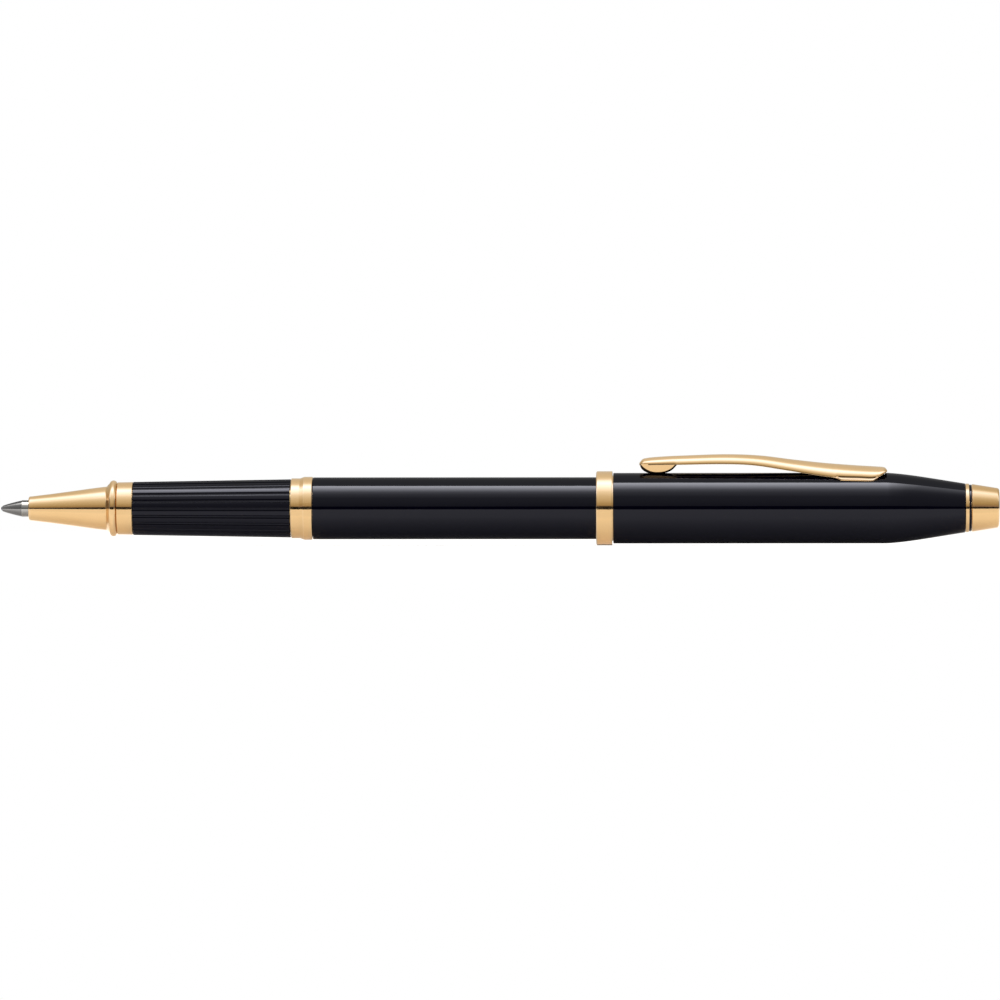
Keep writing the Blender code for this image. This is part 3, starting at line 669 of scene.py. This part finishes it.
# --- finishes ---------------------------------------------------------------------------------
class Finish:
    """A Principled material, with short calls for the nodes that feed it."""

    def __init__(self, name, colour, roughness, metallic=0.0, ior=1.5):
        self.material = bpy.data.materials.new(name)
        self.material.use_nodes = True
        self.tree = self.material.node_tree
        self.shader = self.tree.nodes["Principled BSDF"]
        self.shader.inputs["Base Color"].default_value = (*colour, 1)
        self.shader.inputs["Roughness"].default_value = roughness
        self.shader.inputs["Metallic"].default_value = metallic
        self.shader.inputs["IOR"].default_value = ior
        self.place = self.tree.nodes.new("ShaderNodeTexCoord").outputs["Object"]

    def node(self, kind, **values):
        """A new node with input sockets set by name, an underscore for each space."""
        made = self.tree.nodes.new(kind)
        for name, value in values.items():
            socket = made.inputs[name.replace("_", " ")]
            if isinstance(value, bpy.types.NodeSocket):
                self.tree.links.new(value, socket)
            else:
                socket.default_value = value
        return made

    def noise(self, size, detail=2.0, seed=0.0):
        """Noise whose features are size millimetres across along X, Y and Z."""
        scale = tuple(1000 / s for s in size)
        shift = (seed, seed, seed)
        mapping = self.node("ShaderNodeMapping", Vector=self.place, Scale=scale, Location=shift)
        made = self.node("ShaderNodeTexNoise", Vector=mapping.outputs[0], Scale=1.0, Detail=detail)
        return made.outputs["Fac"]

    def between(self, source, low, high, start=0.0, end=1.0):
        """A source that runs from start to end, mapped to run from low to high."""
        made = self.node("ShaderNodeMapRange", Value=source)
        made.inputs["From Min"].default_value = start
        made.inputs["From Max"].default_value = end
        made.inputs["To Min"].default_value = low
        made.inputs["To Max"].default_value = high
        return made.outputs["Result"]

    def math(self, operation, a, b):
        made = self.tree.nodes.new("ShaderNodeMath")
        made.operation = operation
        for socket, value in zip(made.inputs, (a, b)):
            if isinstance(value, bpy.types.NodeSocket):
                self.tree.links.new(value, socket)
            else:
                socket.default_value = value
        return made.outputs[0]

    def mix(self, share, first, second):
        """A colour between two colours or colour sockets."""
        made = self.tree.nodes.new("ShaderNodeMix")
        made.data_type = "RGBA"
        for name, value in (("Factor", share), ("A", first), ("B", second)):
            socket = [s for s in made.inputs if s.name == name and s.enabled][0]
            if isinstance(value, bpy.types.NodeSocket):
                self.tree.links.new(value, socket)
            else:
                socket.default_value = (*value, 1) if name != "Factor" else value
        return [s for s in made.outputs if s.enabled][0]

    def set(self, name, source):
        self.tree.links.new(source, self.shader.inputs[name])

    def bump(self, *layers):
        """Stacked bumps, each a (source, height in millimetres) pair."""
        below = None
        for source, height in layers:
            made = self.node("ShaderNodeBump", Height=source, Distance=0.001 * height, Strength=1.0)
            if below:
                self.tree.links.new(below, made.inputs["Normal"])
            below = made.outputs[0]
        self.set("Normal", below)

    def attribute(self, name):
        made = self.tree.nodes.new("ShaderNodeAttribute")
        made.attribute_name = name
        return made.outputs["Fac"]


GOLD = (0.705, 0.48, 0.245)
GOLD_DEEP = (0.68, 0.455, 0.22)
GOLD_PALE = (0.76, 0.57, 0.36)
GOLD_PAINTED_SHADE = (0.1, 0.062, 0.025)


def gold(name, marks, roughness):
    """Gold plate: fine marks of the given size, faint stains, paler rubbed edges, and painted shade, near
    black, where the attribute is below zero.
    """
    finish = Finish(name, GOLD, roughness, metallic=1.0)
    stain = finish.noise((9, 6, 6), detail=3)
    hue = finish.mix(finish.between(stain, 0, 1, 0.35, 0.65), GOLD, GOLD_DEEP)
    patches = finish.between(finish.noise((0.8, 0.5, 0.5)), 0.2, 0.9)
    wear_and_shade = finish.attribute("wear_and_shade")
    rubbed = finish.math("MULTIPLY", finish.between(wear_and_shade, 0, 1), patches)
    # Painted shade: below zero the gold is drawn near black, on the clip's inside, its foot creases and the
    # shoe's keel.
    painted_shade = finish.between(wear_and_shade, 1, 0, -1, 0)
    finish.set("Base Color", finish.mix(painted_shade, finish.mix(rubbed, hue, GOLD_PALE), GOLD_PAINTED_SHADE))
    fine = finish.noise(marks, detail=4)
    marked = finish.between(fine, roughness, 0.4, 0.62, 0.72)
    uneven = finish.between(stain, 0.0, 0.03, 0.4, 0.7)
    finish.set("Roughness", finish.math("ADD", marked, uneven))
    finish.bump((fine, 0.0003), (finish.noise((1.6, 1.2, 1.2)), 0.0006))
    return finish.material


def polished_gold():
    name = "gold_plate_turned"
    return bpy.data.materials.get(name) or gold(name, (0.018, 0.12, 0.12), 0.07)


def brushed_gold():
    name = "gold_plate_clip"
    return bpy.data.materials.get(name) or gold(name, (0.12, 0.018, 0.018), 0.08)


LACQUER = (0.0006, 0.0005, 0.0035)


def lacquer(name, marks):
    """Black lacquer: a faint orange peel, dust haze, hairlines, and rings rubbed by the posted cap."""
    finish = Finish(name, LACQUER, 0.03, ior=1.33)
    finish.shader.inputs["Specular Tint"].default_value = (0.97, 0.98, 1.12, 1)
    haze = finish.noise((14, 7, 7), detail=3)
    hairs = finish.noise((6, 0.05, 0.05), detail=2, seed=3.7)
    rings = finish.noise((0.04, 5, 5), detail=2, seed=1.3)
    hairs = finish.between(hairs, 0, 1, 0.68, 0.8)
    rings = finish.between(rings, 0, 1, 0.66, 0.8)
    scratch = finish.math("MAXIMUM", hairs, rings)
    rough = finish.between(haze, 0.022, 0.05, 0.35, 0.7)
    scratched = finish.math("MULTIPLY", scratch, 0.09 if marks else 0.06)
    finish.set("Roughness", finish.math("ADD", rough, scratched))
    specks = finish.noise((0.12, 0.12, 0.12), detail=1, seed=8.1)
    dust = finish.between(specks, 0, 1, 0.74, 0.8)
    finish.set("Base Color", finish.mix(dust, LACQUER, (0.012, 0.012, 0.012)))
    finish.bump((finish.noise((1.5, 1.1, 1.1), detail=1), 0.0035), (scratch, -0.00025))
    return finish.material


def grip_plastic():
    """Black plastic with a fine grain, shinier where fingers have worn it."""
    finish = Finish("grip_plastic", LACQUER, 0.07, ior=1.33)
    finish.shader.inputs["Specular Tint"].default_value = (0.95, 0.96, 1.12, 1)
    worn = finish.noise((3, 1.5, 1.5), detail=3)
    finish.set("Roughness", finish.between(worn, 0.05, 0.12, 0.3, 0.7))
    grain = finish.noise((0.09, 0.09, 0.09), detail=3)
    finish.bump((grain, 0.0006), (finish.noise((2.5, 1, 1)), 0.003))
    pale = finish.between(grain, 0, 1, 0.6, 0.8)
    finish.set("Base Color", finish.mix(pale, LACQUER, (0.005, 0.005, 0.008)))
    return finish.material


def moulded_plastic():
    """Dark grey plastic with the grain of its mould."""
    made = bpy.data.materials.get("moulded_plastic")
    if made:
        return made
    finish = Finish("moulded_plastic", (0.012, 0.012, 0.014), 0.3)
    grain = finish.noise((0.12, 0.12, 0.12), detail=4)
    finish.set("Roughness", finish.between(grain, 0.22, 0.42, 0.3, 0.7))
    finish.set("Base Color", finish.mix(finish.noise((4, 4, 4)), (0.01, 0.01, 0.012), (0.018, 0.018, 0.02)))
    finish.bump((grain, 0.002))
    return finish.material


def metal(name, colour, other, roughness, marks, depth=0.0006):
    """Bare metal with tool marks of the given size."""
    made = bpy.data.materials.get(name)
    if made:
        return made
    finish = Finish(name, colour, roughness, metallic=1.0)
    tool = finish.noise(marks, detail=4)
    tone = finish.noise((5, 3, 3), detail=3)
    finish.set("Base Color", finish.mix(finish.between(tone, 0, 1, 0.3, 0.7), colour, other))
    finish.set("Roughness", finish.between(tool, roughness - 0.06, roughness + 0.1, 0.3, 0.7))
    finish.bump((tool, depth))
    return finish.material


def turned_steel():
    return metal("turned_steel", (0.31, 0.305, 0.3), (0.25, 0.245, 0.24), 0.09, (0.02, 0.6, 0.6))


def drawn_steel():
    return metal("drawn_steel", (0.46, 0.45, 0.425), (0.4, 0.39, 0.365), 0.1, (2.0, 0.03, 0.03), 0.0003)


def turned_brass():
    return metal("turned_brass", (0.72, 0.55, 0.27), (0.56, 0.4, 0.18), 0.24, (0.04, 2.0, 2.0))


def spring_bronze():
    return metal("spring_bronze", (0.62, 0.42, 0.25), (0.5, 0.32, 0.18), 0.3, (1.5, 0.06, 0.06))


def spring_wire():
    return metal("spring_wire", (0.55, 0.55, 0.57), (0.42, 0.42, 0.45), 0.22, (0.05, 0.05, 0.05))


def inked_carbide():
    """A dark, polished ball with a film of ink that has not dried evenly."""
    finish = Finish("inked_carbide", (0.32, 0.32, 0.34), 0.12, metallic=1.0)
    film = finish.between(finish.noise((0.3, 0.18, 0.18), detail=3), 0, 1, 0.42, 0.6)
    finish.set("Base Color", finish.mix(film, (0.34, 0.34, 0.36), (0.02, 0.02, 0.05)))
    finish.set("Roughness", finish.between(film, 0.1, 0.3))
    return finish.material


def soft_body(name, colour, other, roughness, size):
    """Ink, grease or a plain polymer: two close tones and a slightly uneven skin."""
    finish = Finish(name, colour, roughness)
    tone = finish.noise(size, detail=3)
    finish.set("Base Color", finish.mix(tone, colour, other))
    finish.set("Roughness", finish.between(tone, roughness - 0.08, roughness + 0.08, 0.3, 0.7))
    finish.bump((tone, 0.004))
    return finish.material


def finish_inner_nodes():
    """The CAD nodes that stay: each keeps its shape and gets a procedural finish."""
    finishes = {
        "refill_tube": soft_body("tube_polymer", (0.68, 0.7, 0.72), (0.58, 0.6, 0.63), 0.24, (3, 1, 1)),
        "ink_column": soft_body("gel_ink", (0.004, 0.004, 0.012), (0.008, 0.008, 0.02), 0.2, (2, 1, 1)),
        "ink_follower": soft_body("grease", (0.74, 0.7, 0.54), (0.66, 0.6, 0.42), 0.35, (1, 1, 1)),
        "refill_plug": moulded_plastic(),
        "refill_spring": spring_wire(),
        "section_core": turned_brass(),
        "barrel_thread_insert": turned_brass(),
        "posting_clutch": spring_bronze(),
        "inner_cap": moulded_plastic(),
        "clip_retainer": turned_brass(),
        "cap_end_bush": turned_brass(),
    }
    for node, material in finishes.items():
        slot = frame["nodes"][node].material_slots[0]
        slot.link = "OBJECT"
        slot.material = material


# --- studio -----------------------------------------------------------------------------------
# From here on, lengths are in metres.
FLOOR_RADIUS = 0.6
FLOOR_GLOW = 0.55
# Within these distances the floor's glow in reflections is turned down: a painted shadow under the pen.
FLOOR_SHADE = (0.002, 0.011)  # distances from the axis between which the reflected floor darkens

ROOM = 0.61  # brightness of the room as it lights the floor and what is dull
DIM_ROOM = 0.26  # and as it shows in reflections
SOFTBOX_PEAK = 11.2
ARCH_RADIUS = 0.55
GOLD_ARCH_RADIUS = 0.56
ARCH_HALF_LENGTH = 1.2
ARCH_ANGLES = (6, 176, 340)  # first, last and how many steps
ARCH_PLACES = 48
STRIP_HALF_LENGTH = 0.3
STRIP_HEIGHT = 0.0001

# How bright the arches are, from angle to angle in degrees about the pen's axis: 0 is the
# front, towards the camera, 90 is up and 180 is the rear.
ROOM_GLOW = [(6, 0.06), (20, 0.12), (55, 0.22), (97, 0.36), (110, 0.18), (130, 0), (176, 0)]
SOFTBOX_GLOW = [
    (6, 0), (38, 0.015), (53, 0.075), (63, 0.18), (70, 0.41), (78, 0.72), (85, 0.97), (91.6, 1),
    (91.8, 0), (176, 0),
]
GOLD_GLOW = [
    (6, 0.28), (10, 0.46), (16, 0.54), (22, 0.7), (38, 0.95), (52, 1.3), (62, 1.8), (72, 2.2), (85, 2.7),
    (94, 2.2), (104, 1.25), (115, 1.0), (143, 0.81), (176, 0.65),
]
# How that changes along X, and how bright the glow on the floor is from place to place along Y.
SOFTBOX_SIDES = [
    (-1.2, 0), (-0.4, 0.05), (-0.26, 0.26), (-0.17, 0.7), (-0.1, 1), (0.11, 1), (0.18, 0.24), (0.26, 0.1),
    (0.42, 0), (1.2, 0),
]
GOLD_SIDES = [(-1.2, 0.7), (-0.35, 0.78), (-0.1, 1), (0.08, 1), (0.25, 0.68), (1.2, 0.6)]
GOLD_FLOOR_GLOW = [(-0.014, 0), (-0.009, 0.2), (-0.005, 0.45), (-0.002, 0.5), (0.001, 0.4), (0.3, 0.4)]

CARD_DISTANCE = 0.063
CARD_HALF_LENGTH = 0.6
CARD_ANGLES = (-3.8, 6.5)

LENS_DISTANCE = 1.265
SENSOR_WIDTH = 36  # millimetres
VIEW_WIDTH = 1.0013  # times the pen's length
VIEW_HEIGHT = 0.0083  # how far above the pen's axis the camera is, times the pen's length
CAMERA_SIDE = 0.032
AIM_SIDE = 0.0001
CAMERA_ROLL = -0.035  # degrees


def stage_mesh(name, points, faces, material):
    """A stage object, which isn't part of the pen."""
    mesh = bpy.data.meshes.new(name)
    mesh.from_pydata(points, [], faces)
    mesh.materials.append(material)
    obj = add_object(name, mesh)
    return obj


def empty_tree(holder):
    """The node tree of a material or world, cleared."""
    holder.use_nodes = True
    holder.node_tree.nodes.clear()
    return holder.node_tree


def make_floor():
    """A pale floor that fades out towards its rim, so that it meets the backdrop without an edge.

    It glows a little, but in reflections the glow is turned down near the pen, a painted shadow under it,
    or its glow would light the outline.
    """
    finish = Finish("pale_floor", (0.92, 0.92, 0.92), 0.9)
    tone = finish.noise((40, 40, 40), detail=2)
    finish.set("Base Color", finish.mix(tone, (0.92, 0.92, 0.92), (0.9, 0.9, 0.9)))
    finish.shader.inputs["Specular IOR Level"].default_value = 0.0
    finish.shader.inputs["Emission Color"].default_value = (1, 1, 1, 1)
    side = finish.node("ShaderNodeSeparateXYZ", Vector=finish.place).outputs["Y"]
    # Painted shadow: for glossy rays the glow falls off near the pen's axis.
    shaded = finish.between(finish.math("ABSOLUTE", side, 0.0), FLOOR_GLOW, 0, *FLOOR_SHADE)
    reflected = finish.tree.nodes.new("ShaderNodeLightPath").outputs["Is Glossy Ray"]
    lost = finish.math("MULTIPLY", shaded, reflected)
    finish.set("Emission Strength", finish.math("SUBTRACT", FLOOR_GLOW, lost))
    away = finish.node("ShaderNodeVectorMath", Vector=finish.place)
    away.operation = "LENGTH"
    faded = finish.between(away.outputs["Value"], 1, 0, 0.5 * FLOOR_RADIUS, 0.95 * FLOOR_RADIUS)
    finish.set("Alpha", faded)
    corners = [(FLOOR_RADIUS * x, FLOOR_RADIUS * y, 0) for x, y in ((-1, -1), (1, -1), (1, 1), (-1, 1))]
    stage_mesh("floor", corners, [(0, 1, 2, 3)], finish.material)


def linear(stops, at):
    """Straight-line interpolation between (place, value) stops."""
    for (left, low), (right, high) in zip(stops, stops[1:]):
        if at <= right:
            return low + (high - low) * (at - left) / (right - left)
    return stops[-1][1]


def softbox_light(angle, x):
    """The room and the softbox, as everything but the gold reflects them."""
    softbox = SOFTBOX_PEAK * linear(SOFTBOX_GLOW, angle) * linear(SOFTBOX_SIDES, x)
    bright = linear(ROOM_GLOW, angle) + softbox
    return (bright, bright, bright)


def gold_light(angle, x):
    """A softer light for the gold, warm where it is dim and cool where it is bright."""
    bright = linear(GOLD_GLOW, angle) * linear(GOLD_SIDES, x)
    return tuple(max(0, bright**power - DIM_ROOM) for power in (0.8, 1.0, 1.5))


def glow_material(name):
    """Light from the glow attribute, added to whatever is behind."""
    material = bpy.data.materials.new(name)
    tree = empty_tree(material)
    glow = tree.nodes.new("ShaderNodeAttribute")
    glow.attribute_name = "glow"
    emission = tree.nodes.new("ShaderNodeEmission")
    clear = tree.nodes.new("ShaderNodeBsdfTransparent")
    both = tree.nodes.new("ShaderNodeAddShader")
    output = tree.nodes.new("ShaderNodeOutputMaterial")
    tree.links.new(glow.outputs["Color"], emission.inputs["Color"])
    tree.links.new(emission.outputs[0], both.inputs[0])
    tree.links.new(clear.outputs[0], both.inputs[1])
    tree.links.new(both.outputs[0], output.inputs["Surface"])
    return material


def only_in_reflections(obj):
    """Hides a stage object from all but glossy rays."""
    obj.visible_camera = False
    obj.visible_shadow = False
    obj.visible_diffuse = False


def make_glow(name, points, faces, glow, lit, state):
    """A sheet of light with a colour at each point.

    With the state INCLUDE only the lit pieces reflect it, and with EXCLUDE all others do.
    """
    sheet = stage_mesh(name, points, faces, glow_material(name + "_light"))
    attribute = sheet.data.attributes.new("glow", "FLOAT_COLOR", "POINT")
    attribute.data.foreach_set("color", glow)
    only_in_reflections(sheet)
    group = bpy.data.collections.new(name + "_pieces")
    for piece in lit:
        group.objects.link(piece)
    sheet.light_linking.receiver_collection = group
    for entry in group.collection_objects:
        entry.light_linking.link_state = state


def make_arch(name, radius, light, lit, state):
    """An arch of light over the pen, with light(angle, x) as its colour."""
    angles = between(*ARCH_ANGLES)
    places = between(-ARCH_HALF_LENGTH, ARCH_HALF_LENGTH, ARCH_PLACES)
    points, glow = [], []
    for angle in angles:
        turn = math.radians(angle)
        for x in places:
            points.append((x, -radius * math.cos(turn), AXIS_Z + radius * math.sin(turn)))
            glow += [*light(angle, x), 1.0]
    make_glow(name, points, grid_faces(len(angles), len(places)), glow, lit, state)


def is_gold(obj):
    return obj.type == "MESH" and any(m and m.name.startswith("gold_plate") for m in obj.data.materials)


def make_reflected_light():
    """Two arches of light, one for the gold and one for everything else, and a glow under the gold."""
    gold_pieces = [obj for obj in bpy.context.scene.objects if is_gold(obj)]
    make_arch("softbox_arch", ARCH_RADIUS, softbox_light, gold_pieces, "EXCLUDE")
    make_arch("gold_arch", GOLD_ARCH_RADIUS, gold_light, gold_pieces, "INCLUDE")
    strip, glow = [], []
    for y, bright in GOLD_FLOOR_GLOW:
        strip += [(-STRIP_HALF_LENGTH, y, STRIP_HEIGHT), (STRIP_HALF_LENGTH, y, STRIP_HEIGHT)]
        glow += [bright, bright, bright, 1.0] * 2
    faces = grid_faces(len(GOLD_FLOOR_GLOW), 2)
    make_glow("gold_floor_glow", strip, faces, glow, gold_pieces, "INCLUDE")


def make_card():
    """A low dark strip in front of the pen, seen only in reflections: it draws the thin dark line."""
    bottom, top = (AXIS_Z + CARD_DISTANCE * math.tan(math.radians(angle)) for angle in CARD_ANGLES)
    material = bpy.data.materials.new("dark_card_felt")
    tree = empty_tree(material)
    emission = tree.nodes.new("ShaderNodeEmission")
    emission.inputs["Strength"].default_value = 0.02
    output = tree.nodes.new("ShaderNodeOutputMaterial")
    tree.links.new(emission.outputs[0], output.inputs["Surface"])
    left, right = -CARD_HALF_LENGTH, CARD_HALF_LENGTH
    outline = [(left, bottom), (right, bottom), (right, top), (left, top)]
    corners = [(x, -CARD_DISTANCE, z) for x, z in outline]
    only_in_reflections(stage_mesh("dark_card", corners, [(0, 1, 2, 3)], material))


def make_world():
    """White to the camera, a dim room in reflections and a brighter one for the rest."""
    world = bpy.data.worlds.new("studio")
    bpy.context.scene.world = world
    tree = empty_tree(world)
    path = tree.nodes.new("ShaderNodeLightPath")
    output = tree.nodes.new("ShaderNodeOutputWorld")
    below = None
    for colour, strength, ray in (
        ((1.0, 0.965, 0.93, 1), ROOM, None),
        ((1.0, 1.0, 1.0, 1), DIM_ROOM, "Is Glossy Ray"),
        ((1.0, 1.0, 1.0, 1), 1.0, "Is Camera Ray"),
    ):
        background = tree.nodes.new("ShaderNodeBackground")
        background.inputs["Color"].default_value = colour
        background.inputs["Strength"].default_value = strength
        shader = background.outputs[0]
        if ray:
            mix = tree.nodes.new("ShaderNodeMixShader")
            tree.links.new(path.outputs[ray], mix.inputs[0])
            tree.links.new(below, mix.inputs[1])
            tree.links.new(shader, mix.inputs[2])
            shader = mix.outputs[0]
        below = shader
    tree.links.new(below, output.inputs["Surface"])


def make_sun():
    """Broad light from above for the floor. It isn't seen in reflections."""
    light = bpy.data.lights.new("overhead", "SUN")
    light.energy = 0.5
    light.angle = math.radians(75)
    obj = add_object("overhead", light)
    obj.rotation_euler = (math.radians(-12), 0, 0)
    obj.visible_glossy = False


def make_camera():
    """A long lens level with the pen, a little to the right of its middle."""
    low, high = cad_box
    length = high.x - low.x
    data = bpy.data.cameras.new("camera")
    data.sensor_width = SENSOR_WIDTH
    data.lens = SENSOR_WIDTH * LENS_DISTANCE / (VIEW_WIDTH * length)
    data.clip_start = 0.05
    data.clip_end = 60
    camera = add_object("camera", data)
    above = AXIS_Z + VIEW_HEIGHT * length
    aim = Vector(((low.x + high.x) / 2 + AIM_SIDE, 0, above))
    camera.location = (CAMERA_SIDE, -LENS_DISTANCE, above)
    camera.rotation_euler = (aim - camera.location).to_track_quat("-Z", "Y").to_euler()
    camera.rotation_euler.rotate_axis("Z", math.radians(CAMERA_ROLL))
    bpy.context.scene.camera = camera


make_writing_ball()
make_refill_point()
make_refill_nose()
make_nose_cone()
make_grip_sleeve()
make_coupling_ring()
make_barrel_tube()
make_barrel_end_plug()
make_cap_lip_ring()
make_cap_shell()
make_crown_washer("crown_band", 0.05, polished_gold())
make_crown_washer("crown_spacer", 0.04, lacquer("spacer_lacquer", marks=False))
make_crown()
make_clip()
finish_inner_nodes()

make_floor()
make_reflected_light()
make_card()
make_world()
make_sun()
make_camera()
bpy.context.scene.view_settings.view_transform = "Standard"
